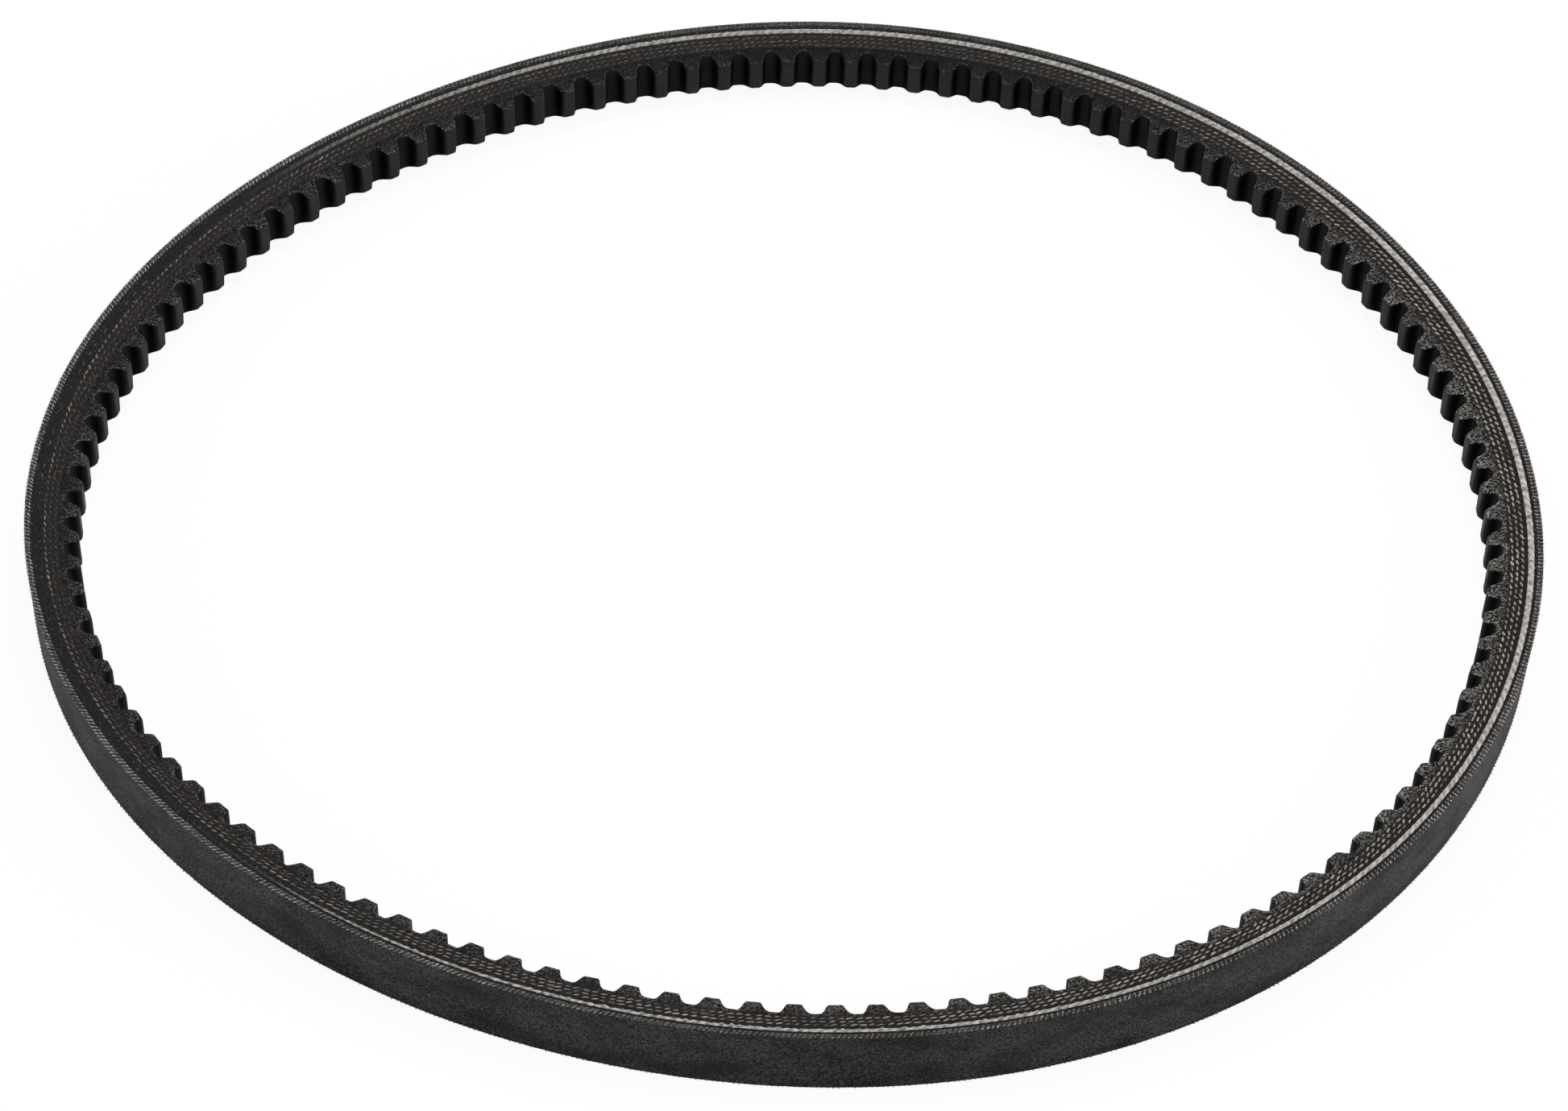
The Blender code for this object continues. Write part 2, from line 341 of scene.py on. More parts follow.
def yarn_ends(name, depth, pitch, size, turn, sway, clean, seed, material):
    """Cut yarn ends along both flanks at one depth.

    Each is a flattened ball of three half sizes, turned in the flank's plane by a tilt and a swing that
    changes sides from one to the next, swayed to either side of the row in turn, thinned where the flank
    is smeared, and sunk into the rubber by part of its thickness. How clean the flank is in front, behind
    and on the left goes to freshness.
    """
    random = np.random.default_rng(seed)
    count = int(round(LOOP_LENGTH / pitch))
    template, caps, quads = bead_shape()
    order = np.arange(count)
    swing = np.where(order % 2, 1.0, -1.0)
    ones, zeros = np.ones(count), np.zeros(count)
    # How unevenly the ends lie along their row, in depth and in angle, and how deep they are sunk
    scatter, stray, jitter, sunk = 0.07, 0.042 * MM, 0.09, 0.30 * size[2]
    # The parts of a clean end's half sizes that a smeared one keeps
    smeared = np.array([0.68, 0.32, 0.70])
    parts, shown = [], []
    for flank in (1.0, -1.0):
        shares = (order + random.uniform() + random.normal(0.0, scatter, count)) / count
        fresh = freshness(shares, *clean, seed)
        strayed = random.normal(0.0, stray, count) * (1.0 - 0.7 * fresh)
        depths = depth + sway * swing + strayed
        fresh = fresh * random.uniform(0.55, 1.0, count)
        _, inward = path(shares)
        out = np.stack([FLANK_SLOPE * inward.real, FLANK_SLOPE * inward.imag, flank * ones], axis=1)
        down = np.stack([inward.real, inward.imag, -flank * FLANK_SLOPE * ones], axis=1)
        along = np.stack([inward.imag, -inward.real, zeros], axis=1)
        out = out / math.hypot(1.0, FLANK_SLOPE)
        down = flank * down / math.hypot(1.0, FLANK_SLOPE)
        angle = (turn[0] + turn[1] * swing + random.normal(0.0, jitter, count))[:, None]
        long_way = np.cos(angle) * along + np.sin(angle) * down
        wide_way = np.cos(angle) * down - np.sin(angle) * along
        wear_and_painted_shade = smeared + (1.0 - smeared) * fresh[:, None]
        grow = random.uniform(0.78, 1.12, (count, 3)) * np.array(size) * wear_and_painted_shade
        middle = belt_points(shares, depths[:, None], flank * half_width(depths)[:, None])[:, 0]
        middle = middle - sunk * out
        frames = np.stack([long_way, wide_way, out], axis=1) * grow[:, :, None]
        parts.append(middle[:, None] + template[None] @ frames)
        shown.append(np.repeat(fresh, len(template)))
    points = np.concatenate(parts)
    offsets = np.arange(len(points))[:, None, None] * len(template)
    triangles = (offsets + caps).reshape(-1, 3).tolist()
    squares = (offsets + quads).reshape(-1, 4).tolist()
    piece = add_mesh(name, points, triangles + squares, material, sharp=180.0)
    add_value(piece, "fresh", np.concatenate(shown), "POINT")
    return piece


def smooth_higher(first, second, reach):
    """The higher of two heights, rounded where they cross within a reach."""
    blend = np.maximum(reach - np.abs(first - second), 0.0) / reach
    return np.maximum(first, second) + 0.25 * reach * blend**2


def cog_depths(shares, sizes, floor, rounding):
    """Depth of the belt's inside along the loop: a level tip and two hollow sides for every cog.

    Each side falls as a power of what is left of its run, so that it leaves the tip steeply and meets
    the groove floor level: a long sweep on the side that is met later, a shorter one on the other.
    Above the tip the sides go on as straight lines, and the corner of line and tip is rounded.
    """
    wide_power, tight_power = 3.2, 1.8
    pitch = LOOP_LENGTH / sizes.cog_count
    from_middle = ((shares * sizes.cog_count) % 1.0 - 0.5) * pitch
    later = from_middle > 0.0
    run = np.where(later, sizes.wide_run, sizes.tight_run)
    power = np.where(later, wide_power, tight_power)
    beyond = (np.abs(from_middle) - 0.5 * sizes.tip_length) / run
    sweep = np.clip(1.0 - beyond, 0.0, 1.0) ** power - power * np.minimum(beyond, 0.0)
    side = sizes.cog_height * sweep
    return floor - smooth_higher(-side, np.full_like(side, -sizes.cog_height), rounding)


def new_node(tree, kind, output, inputs=(), **settings):
    """Add a shader node with its settings and links, and give one of its outputs.

    Inputs come in the order of the node's sockets, or by name. Each takes a fixed value or another
    node's output.
    """
    made = tree.nodes.new(f"ShaderNode{kind}")
    for key, value in settings.items():
        setattr(made, key, value)
    pairs = inputs.items() if isinstance(inputs, dict) else enumerate(inputs)
    for socket, value in pairs:
        if isinstance(value, bpy.types.NodeSocket):
            tree.links.new(value, made.inputs[socket])
        else:
            made.inputs[socket].default_value = value
    return made.outputs[output]


def new_finish(name, roughness, sheen=0.15):
    """A material, its node tree and its Principled shader, as a dull rubber or cloth."""
    material = bpy.data.materials.new(name)
    material.use_nodes = True
    shader = material.node_tree.nodes["Principled BSDF"]
    shader.inputs["Roughness"].default_value = roughness
    shader.inputs["IOR"].default_value = 1.50
    shader.inputs["Specular IOR Level"].default_value = sheen
    return material, material.node_tree, shader


def opaque(colour):
    """A linear colour with its alpha."""
    return (*colour, 1.0)


def back_finish(colours, sizes):
    """Rubbered weave, calendered on the bias: charcoal cloth whose yarns show faintly through the rubber.

    It gives a dull face with a fine diagonal grain, dark blotches drawn out along the belt and patches of
    dark pits. Grain and pits are drawn coarser than the real ones, which would be too fine to show.
    """
    grain_size, pit_size, blotch_size, patch_size = 0.34 * MM, 0.50 * MM, 11.0 * MM, 16.0 * MM
    relief = 0.06 * MM
    material, tree, shader = new_finish("Rubbered bias weave, calendered", 0.70)
    place = new_node(tree, "TexCoord", "Object")
    flat = new_node(tree, "TexCoord", "UV")
    pitch = even_pitch(math.sqrt(2.0) * sizes.weave) / math.sqrt(2.0)
    yarns = []
    for angle in (math.radians(45.0), math.radians(-45.0)):
        turned = new_node(tree, "Mapping", "Vector", {"Vector": flat, "Rotation": (0.0, 0.0, angle)})
        wave = {"Vector": turned, "Scale": WAVE_TURN / pitch, "Distortion": 0.8, "Detail": 1.0}
        yarns.append(new_node(tree, "TexWave", "Fac", wave))
    weave = new_node(tree, "Math", "Value", yarns, operation="MULTIPLY")
    drawn = new_node(tree, "Mapping", "Vector", {"Vector": place, "Scale": (1.0, 1.0, 2.5)})
    blotch = new_node(tree, "TexNoise", "Fac", {"Vector": drawn, "Scale": 1.0 / blotch_size, "Detail": 2.0})
    patches = new_node(tree, "TexNoise", "Fac", {"Vector": place, "Scale": 1.0 / patch_size, "Detail": 1.0})
    pits = new_node(tree, "TexNoise", "Fac", {"Vector": place, "Scale": 1.0 / pit_size, "Detail": 2.0})
    fine = {"Vector": place, "Scale": 1.0 / grain_size, "Detail": 3.0, "Roughness": 0.75}
    grain = new_node(tree, "TexNoise", "Fac", fine)
    blotched = new_node(tree, "MapRange", "Result", (blotch, 0.30, 0.56))
    patched = new_node(tree, "MapRange", "Result", (patches, 0.50, 0.60))
    pitted = new_node(tree, "MapRange", "Result", (pits, 0.44, 0.54, 0.35, 1.05))
    grained = new_node(tree, "MapRange", "Result", (grain, 0.42, 0.58, 0.0, 2.0))
    woven = new_node(tree, "MapRange", "Result", (weave, 0.0, 0.7, 0.92, 1.08))
    cloth = {"Factor": blotched, "A": opaque(colours.back_dark), "B": opaque(colours.back)}
    tone = new_node(tree, "Mix", "Result", cloth, data_type="RGBA")
    pitting = {"Factor": patched, "A": 1.0, "B": pitted}
    speckled = new_node(tree, "Mix", "Result", pitting, data_type="FLOAT")
    speck = new_node(tree, "Math", "Value", (grained, speckled), operation="MULTIPLY")
    lit = new_node(tree, "Math", "Value", (speck, woven), operation="MULTIPLY")
    colour = new_node(tree, "VectorMath", "Vector", {0: tone, "Scale": lit}, operation="SCALE")
    under = new_node(tree, "Bump", "Normal", {"Strength": 0.35, "Distance": relief, "Height": weave})
    over = {"Strength": 0.60, "Distance": relief, "Height": grain, "Normal": under}
    normal = new_node(tree, "Bump", "Normal", over)
    tree.links.new(colour, shader.inputs["Base Color"])
    tree.links.new(normal, shader.inputs["Normal"])
    return material


def cut_rubber_finish(name, colours, tone, grain_size):
    """Sliced rubber: near black, torn into a fine dull grain by the knife, with a few light fibres.

    The fibres are drawn coarser than the real ones, which would be too fine to show.
    """
    fibre_size, relief = 0.45 * MM, 0.06 * MM
    material, tree, shader = new_finish(name, 0.72, 0.08)
    place = new_node(tree, "TexCoord", "Object")
    torn = {"Vector": place, "Scale": 1.0 / grain_size, "Detail": 4.0, "Roughness": 0.65}
    grain = new_node(tree, "TexNoise", "Fac", torn)
    fibres = new_node(tree, "TexNoise", "Fac", {"Vector": place, "Scale": 1.0 / fibre_size, "Detail": 1.0})
    shade = new_node(tree, "MapRange", "Result", (grain, 0.36, 0.68, 0.5, 1.2))
    rubber = new_node(tree, "VectorMath", "Vector", {0: tuple(tone), "Scale": shade}, operation="SCALE")
    fleck = new_node(tree, "MapRange", "Result", (fibres, 0.64, 0.76, 0.0, 0.22))
    flecked = {"Factor": fleck, "A": rubber, "B": opaque(colours.fibre)}
    colour = new_node(tree, "Mix", "Result", flecked, data_type="RGBA")
    normal = new_node(tree, "Bump", "Normal", {"Strength": 0.5, "Distance": relief, "Height": grain})
    tree.links.new(colour, shader.inputs["Base Color"])
    tree.links.new(normal, shader.inputs["Normal"])
    return material


def yarn_finish(colours):
    """Cotton and polyester yarn ends, cut across: dull tan fluff, smeared dark where rubber covers them.

    The fluff is drawn coarser than the real one, which would be too fine to show. The back and the plies
    share this finish, so it is made once.
    """
    name = "Cut cotton-polyester yarn ends"
    if name in bpy.data.materials:
        return bpy.data.materials[name]
    fluff_size, relief = 0.35 * MM, 0.05 * MM
    material, tree, shader = new_finish(name, 0.88, 0.10)
    place = new_node(tree, "TexCoord", "Object")
    fresh = new_node(tree, "Attribute", "Fac", attribute_name="fresh")
    fuzz = {"Vector": place, "Scale": 1.0 / fluff_size, "Detail": 4.0, "Roughness": 0.7}
    fluff = new_node(tree, "TexNoise", "Fac", fuzz)
    lit = new_node(tree, "MapRange", "Result", (fluff, 0.32, 0.56))
    tan = {"Factor": lit, "A": opaque(colours.yarn_dark), "B": opaque(colours.yarn)}
    yarn = new_node(tree, "Mix", "Result", tan, data_type="RGBA")
    shown = new_node(tree, "MapRange", "Result", (fresh, 0.0, 0.80))
    smeared = {"Factor": shown, "A": opaque(colours.ply), "B": yarn}
    colour = new_node(tree, "Mix", "Result", smeared, data_type="RGBA")
    normal = new_node(tree, "Bump", "Normal", {"Strength": 0.6, "Distance": relief, "Height": fluff})
    tree.links.new(colour, shader.inputs["Base Color"])
    tree.links.new(normal, shader.inputs["Normal"])
    return material


def cord_finish(colours, sizes):
    """Twisted polyester cord, sliced lengthwise: pale fibres with slanting creases and dark nicks.

    The fibres are drawn coarser than the real ones, which would be too fine to show.
    """
    fibre_size, relief = 0.45 * MM, 0.08 * MM
    crease_pitch, crease_part = 0.24 * sizes.strand_lay, 0.26
    material, tree, shader = new_finish("Twisted polyester cord, sliced", 0.80, 0.12)
    place = new_node(tree, "TexCoord", "Object")
    flat = new_node(tree, "TexCoord", "UV")
    fresh = new_node(tree, "Attribute", "Fac", attribute_name="fresh")
    slant = (0.0, 0.0, math.radians(55.0))
    turned = new_node(tree, "Mapping", "Vector", {"Vector": flat, "Rotation": slant})
    wave = {"Vector": turned, "Scale": WAVE_TURN / crease_pitch, "Distortion": 4.0, "Detail": 3.0}
    creases = new_node(tree, "TexWave", "Fac", wave)
    fine = {"Vector": place, "Scale": 1.0 / fibre_size, "Detail": 5.0, "Roughness": 0.7}
    fibres = new_node(tree, "TexNoise", "Fac", fine)
    twisted = new_node(tree, "Math", "Value", (creases, crease_part, fibres), operation="MULTIPLY_ADD")
    lit = new_node(tree, "MapRange", "Result", (twisted, 0.42, 0.74))
    pale = {"Factor": lit, "A": opaque(colours.cord_dark), "B": opaque(colours.cord)}
    cord = new_node(tree, "Mix", "Result", pale, data_type="RGBA")
    # Rubber smeared on the cord is darker than the cut gum
    smear = opaque(0.6 * channel for channel in colours.gum)
    colour = new_node(tree, "Mix", "Result", {"Factor": fresh, "A": smear, "B": cord}, data_type="RGBA")
    normal = new_node(tree, "Bump", "Normal", {"Strength": 0.5, "Distance": relief, "Height": twisted})
    tree.links.new(colour, shader.inputs["Base Color"])
    tree.links.new(normal, shader.inputs["Normal"])
    return material


def cog_finish(colours):
    """Fibre-filled chloroprene: smooth matt moulded cogs, and a sliced flank peppered with fibre ends.

    Painted shade keeps the cogs' sides near black and the groove floors darker than the tips, and the sheen
    falls with it. The slice is duller. On the rims the light fibre flecks are partly a painted highlight.
    The fibre ends are drawn coarser than the real ones, which would be too fine to show.
    """
    fibre_size, cloud_size, relief = 0.36 * MM, 3.0 * MM, 0.05 * MM
    moulded_rough, sliced_rough = 0.55, 0.85
    material, tree, shader = new_finish("Fibre-filled chloroprene, moulded and sliced", moulded_rough)
    place = new_node(tree, "TexCoord", "Object")
    sliced = new_node(tree, "Attribute", "Fac", attribute_name="sliced")
    fresh = new_node(tree, "Attribute", "Fac", attribute_name="fresh")
    wear_and_painted_shade = new_node(tree, "Attribute", "Fac", attribute_name="wear_and_painted_shade")
    cloud = new_node(tree, "TexNoise", "Fac", {"Vector": place, "Scale": 1.0 / cloud_size, "Detail": 5.0})
    fine = {"Vector": place, "Scale": 1.0 / fibre_size, "Detail": 2.0, "Roughness": 0.8}
    fibres = new_node(tree, "TexNoise", "Fac", fine)
    fleck = new_node(tree, "MapRange", "Result", (fibres, 0.48, 0.66))
    share = new_node(tree, "Math", "Value", (fleck, fresh), operation="MULTIPLY")
    slice_mix = {"Factor": share, "A": opaque(colours.cut), "B": opaque(colours.fibre)}
    peppered = new_node(tree, "Mix", "Result", slice_mix, data_type="RGBA")
    clouded = new_node(tree, "MapRange", "Result", (cloud, 0.30, 0.70, 0.70, 1.25))
    # Painted shade scales the moulded rubber: near black on the cogs' sides, darker on groove floors than
    # on tips
    painted_shade = new_node(tree, "MapRange", "Result", (wear_and_painted_shade, 0.2, 1.0, 0.20, 1.05))
    tone_and_painted_shade = new_node(tree, "Math", "Value", (clouded, painted_shade), operation="MULTIPLY")
    rubber = {0: tuple(colours.rubber), "Scale": tone_and_painted_shade}
    moulded = new_node(tree, "VectorMath", "Vector", rubber, operation="SCALE")
    faces = {"Factor": sliced, "A": moulded, "B": peppered}
    colour = new_node(tree, "Mix", "Result", faces, data_type="RGBA")
    rough = new_node(tree, "MapRange", "Result", (sliced, 0.0, 1.0, moulded_rough, sliced_rough))
    shine = new_node(tree, "MapRange", "Result", (wear_and_painted_shade, 0.2, 1.0, 0.02, 0.16))
    dulled = new_node(tree, "MapRange", "Result", (sliced, 0.0, 1.0, 1.0, 0.3))
    sheen = new_node(tree, "Math", "Value", (shine, dulled), operation="MULTIPLY")
    normal = new_node(tree, "Bump", "Normal", {"Strength": 0.30, "Distance": relief, "Height": fibres})
    tree.links.new(colour, shader.inputs["Base Color"])
    tree.links.new(rough, shader.inputs["Roughness"])
    # Where an export drops this link, the sheen that new_finish set is left
    tree.links.new(sheen, shader.inputs["Specular IOR Level"])
    tree.links.new(normal, shader.inputs["Normal"])
    return material


class VBELT_OT_back_fabric(bpy.types.Operator):
    """The two plies of rubbered weave on the belt's back, with the yarn ends that the cut lays bare"""

    bl_idname = "vbelt.back_fabric"
    bl_label = "Back fabric"

    def execute(self, context):
        sizes, colours = context.scene.vbelt_sizes, context.scene.vbelt_colours
        nodes = (BACK, "back_fabric_inner_ply")
        edges = [layer_depth(node) for node in nodes] + [layer_depth("upper_cushion_rubber")]
        cloth = back_finish(colours, sizes)
        yarn = yarn_finish(colours)
        # Each row of yarn ends lies this much nearer to the back than the middle of its ply
        lifts = (0.10 * MM, -0.02 * MM)
        for order, node in enumerate(nodes):
            outer, inner = edges[order], edges[order + 1]
            ring = add_ring(
                f"{node}_cloth", outer, inner, cloth, stations=2400, across=13, rough=0.010 * MM, seed=21
            )
            settle(ring, "back_fabric", node)
            ends = yarn_ends(
                f"{node}_yarn_ends",
                depth=0.5 * (outer + inner) - lifts[order],
                pitch=sizes.back_yarn,
                size=(0.48 * MM, 0.16 * MM, 0.10 * MM),
                turn=(math.radians(48.0), 0.0),
                sway=0.0,
                clean=(0.50, 0.30, 1.00),
                seed=31 + order,
                material=yarn,
            )
            settle(ends, "back_fabric")
        return {"FINISHED"}


class VBELT_OT_cushions(bpy.types.Operator):
    """The cushion gum above and below the cord; the lower one also fills in between the cord's turns"""

    bl_idname = "vbelt.cushions"
    bl_label = "Cushion rubber"

    def execute(self, context):
        colours = context.scene.vbelt_colours
        gum = cut_rubber_finish("Cushion gum, sliced", colours, colours.gum, grain_size=0.5 * MM)
        upper, cord = layer_depth("upper_cushion_rubber"), layer_depth("tensile_cord")
        ring = add_ring("upper_cushion_gum", upper, cord, gum)
        settle(ring, "cushion_gum", "upper_cushion_rubber")
        ring = add_ring("lower_cushion_gum", cord, layer_depth(PLIES[0]), gum, recess=0.02 * MM)
        settle(ring, "cushion_gum", "lower_cushion_rubber")
        return {"FINISHED"}


class VBELT_OT_tensile_cord(bpy.types.Operator):
    """The one long cord: a helix of a three-strand section, sliced where it runs out through a flank"""

    bl_idname = "vbelt.tensile_cord"
    bl_label = "Tensile cord"

    def execute(self, context):
        sizes, colours = context.scene.vbelt_sizes, context.scene.vbelt_colours
        outer, inner = layer_depth("tensile_cord"), layer_depth("lower_cushion_rubber")
        middle, radius = 0.5 * (outer + inner), 0.5 * (inner - outer)
        rise = 2.0 * radius + sizes.cord_spacing
        # The cord starts and ends almost outside the flanks, so that its cut tapers out
        reach = half_width(middle) + 1.04 * radius
        turns = 2.0 * reach / rise
        # Stations in turns: close where a flank slices the cord, closest on the upper one, wide in between
        sliced = 1.05
        way = np.concatenate(
            [
                np.arange(0.0, sliced, 1.0 / 3600),
                np.arange(sliced, turns - sliced, 1.0 / 120),
                np.linspace(turns - sliced, turns, 1600),
            ]
        )
        shares = self.start_share(sizes.cord_start) + way
        # The cord's first turn fades in, is cleanest on the right, then fades out under smeared rubber
        marks = [0.0, 0.02, 0.03, 0.05, 0.07, 0.22, 0.32, 0.45, 0.55, 0.68, 0.72, 0.74, 0.76, 0.775, 0.79]
        shown = [0.04, 0.06, 0.3, 0.7, 0.86, 0.86, 1.0, 1.0, 0.74, 0.70, 0.5, 0.35, 0.18, 0.04, 0.0]
        shown = np.interp(way, marks, shown)
        depths, heights = self.sections(sizes, way, shown, middle, radius, reach - rise * way)
        points = belt_points(shares, depths, heights)
        cord = cord_finish(colours, sizes)
        piece = add_mesh("tensile_cord_helix", points, sweep_faces(points, False), cord)
        add_uv(piece, np.broadcast_to((way * LOOP_LENGTH)[:, None], depths.shape), depths)
        nicks = 0.20 * ripple(shares, 5, waves=40, low=60, high=700)
        fresh = np.clip(1.02 + nicks, 0.30, 1.0) * shown
        # Beyond that a thin broken line shows, along the middle of the cut
        dashes = 0.5 * ripple(shares, 7, waves=30, low=120, high=420)
        dashes = np.where((way > 0.82) & (way < 0.90), np.clip(dashes - 0.2, 0.0, 0.24), 0.0)
        middle_row = 4
        fresh = fresh[:, None] + dashes[:, None] * (np.arange(depths.shape[1]) == middle_row)
        add_value(piece, "fresh", fresh, "POINT")
        settle(piece, "tensile_cord", "tensile_cord")
        return {"FINISHED"}

    def start_share(self, direction):
        """The share of the loop that lies in a direction from the origin."""
        shares = np.linspace(0.0, 1.0, 2001)
        place, _ = path(shares)
        return np.interp(direction, np.unwrap(np.angle(place)), shares)

    def sections(self, sizes, way, shown, middle, radius, centres):
        """Depths and heights of the cord's section at every station.

        The section is a circle that swells where one of the three strands lies. It is cut off along the
        upper or lower flank where that passes through it: an arc on the inner side, the upper cut, an
        arc on the outer side and the lower cut. Fibres that show swell out of the cut in an uneven crown.
        """
        strands, strand_swell = 3.0, 0.06
        # How far the slice stands out of the flank, and the least that is left of a slice
        proud, least = 0.01 * MM, 0.03 * MM
        lay = 2.0 * math.pi * way * LOOP_LENGTH / sizes.strand_lay
        lean = math.atan(FLANK_SLOPE)
        square = 0.5 * math.pi - lean
        uneven = 0.09 * ripple(way, 9, waves=40, low=100, high=700)
        swell = 1.0 + strand_swell * np.cos(strands * (square - lay)) + uneven
        # Cosines of the deepest cut, and of the flat that is left where there is no cut
        deepest, uncut = -0.97, math.cos(math.radians(12.0))
        room = [math.cos(lean) * (half_width(middle) + side * centres) for side in (-1.0, 1.0)]
        bare = [part / (radius * swell) for part in room]
        upper, lower = (np.arccos(np.clip(part, deepest, uncut)) for part in bare)
        # The two cuts lie opposite each other, and turn from one flank to the other in the middle turn
        facing = square + 2.0 * lean * np.clip(way - 0.5 * way[-1] + 0.5, 0.0, 1.0)
        step = np.linspace(0.0, 1.0, 4) * (math.pi - upper - lower)[:, None]
        inner_arc = (facing - math.pi + lower)[:, None] + step
        outer_arc = (facing + upper)[:, None] + step
        arcs = [
            np.stack([np.cos(arc), np.sin(arc)], axis=-1)
            * (radius * (1.0 + strand_swell * np.cos(strands * (arc - lay[:, None]))))[..., None]
            for arc in (inner_arc, outer_arc)
        ]
        # Two points across each cut, between the ends of the arcs
        cut = np.array([0.33, 0.67])[None, :, None]
        above = arcs[0][:, -1:] * (1.0 - cut) + arcs[1][:, :1] * cut
        below = arcs[1][:, -1:] * (1.0 - cut) + arcs[0][:, :1] * cut
        ring = np.concatenate([arcs[0], above, arcs[1], below], axis=1)
        depths = middle + ring[..., 0]
        edge = half_width(depths) + proud
        heights = np.clip(centres[:, None] + ring[..., 1], -edge, edge)
        lumps = 0.5 * ripple(way, 11, waves=40, low=150, high=900)
        crown = sizes.cord_crown * shown * np.clip(1.0 + lumps, 0.2, 2.0)
        # Rows of the upper and of the lower cut
        for sign, share, rows in ((1.0, bare[0], [3, 4, 5, 6]), (-1.0, bare[1], [9, 10, 11, 0])):
            swollen = crown * np.sqrt(1.0 - np.clip(share, -1.0, 1.0) ** 2)
            cut_edge = edge[:, rows] + swollen[:, None] * np.array([0.0, 1.0, 1.0, 0.0])
            heights[:, rows] = np.where((share < uncut)[:, None], sign * cut_edge, heights[:, rows])
            rest = np.setdiff1d(np.arange(heights.shape[1]), rows)
            heights[:, rest] = sign * np.minimum(sign * heights[:, rest], edge[:, rest] - least)
        return depths, heights


class VBELT_OT_reinforcing_plies(bpy.types.Operator):
    """The three coarse plies under the cord, with their rows of cut yarn ends"""

    bl_idname = "vbelt.reinforcing_plies"
    bl_label = "Reinforcing plies"

    def execute(self, context):
        sizes, colours = context.scene.vbelt_sizes, context.scene.vbelt_colours
        skim = cut_rubber_finish("Ply skim rubber, sliced", colours, colours.ply, grain_size=0.4 * MM)
        yarn = yarn_finish(colours)
        edges = [layer_depth(node) for node in PLIES] + [layer_depth(BASE)]
        # How clean each ply's edge is in front, behind and on the left
        clean = ((0.64, 0.28, 0.44), (0.64, 0.27, 0.20), (0.60, 0.24, 0.15))
        for order, node in enumerate(PLIES):
            outer, inner = edges[order], edges[order + 1]
            ring = add_ring(f"{node}_skim", outer, inner, skim)
            settle(ring, "ply_fabric", node)
            ends = yarn_ends(
                f"{node}_yarn_ends",
                depth=0.5 * (outer + inner),
                pitch=sizes.ply_yarn,
                size=(0.79 * MM, 0.26 * MM, 0.16 * MM),
                turn=(math.radians(15.0), math.radians(5.0)),
                sway=0.03 * MM,
                clean=clean[order],
                seed=41 + order,
                material=yarn,
            )
            settle(ends, "ply_fabric")
        return {"FINISHED"}


